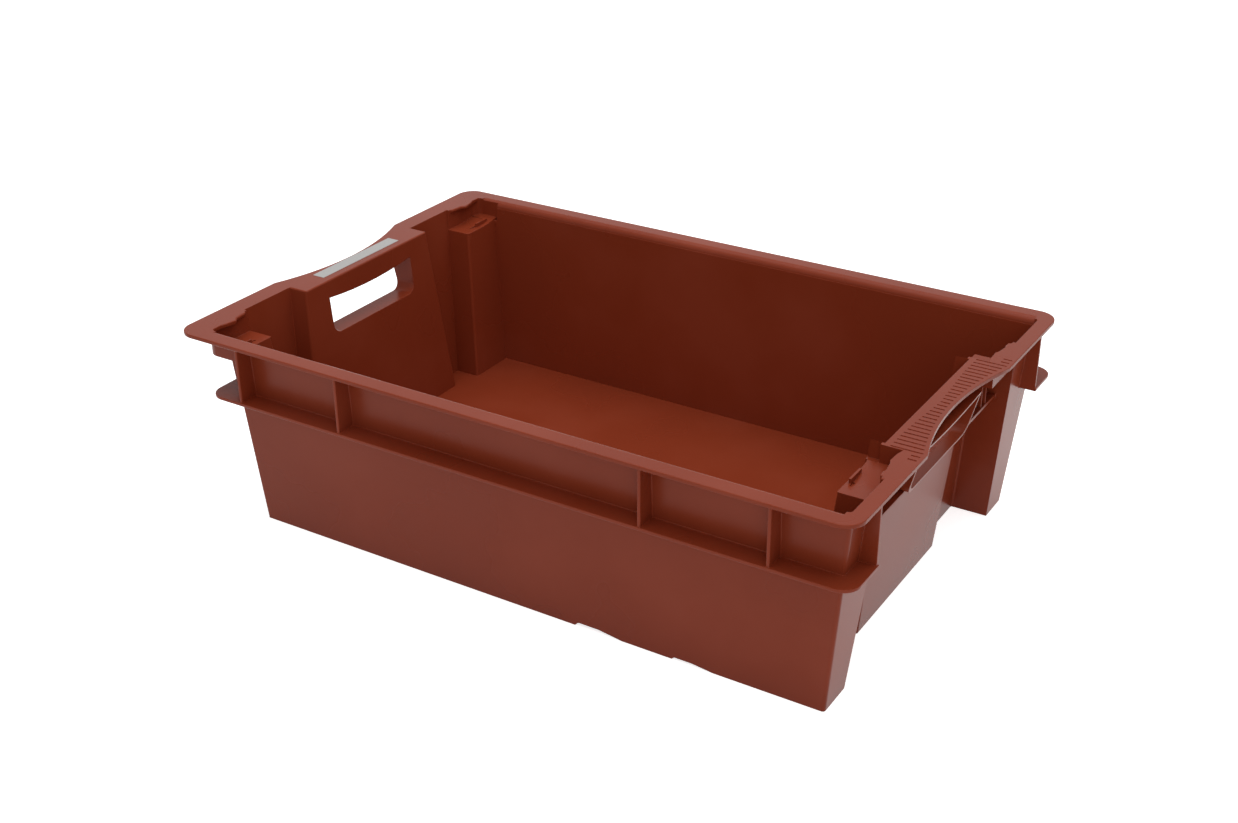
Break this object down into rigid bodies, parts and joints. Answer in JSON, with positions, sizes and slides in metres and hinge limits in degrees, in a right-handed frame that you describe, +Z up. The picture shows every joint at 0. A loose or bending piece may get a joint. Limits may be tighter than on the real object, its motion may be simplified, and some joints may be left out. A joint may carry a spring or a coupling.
{
  "type": "stacking crate",
  "caption": "Open rectangular stack-and-nest plastic crate with a wide rim, a ribbed middle flange, hand holes in its ends and seats that carry the crate above.",
  "frame": {"origin": "centre of the footprint, on the plane that the crate stands on", "axes": "+X along the long side towards the end with the grooved grip and the wide corner legs, +Y across, +Z up"},
  "size_m": [0.6, 0.4, 0.1702],
  "materials": {
    "moulded_plastic": "satin",
    "label_film": "matte"
  },
  "bodies": {
    "root": {"crate_body": "moulded_plastic", "grip_label": "label_film"}
  },
  "joints": []
}
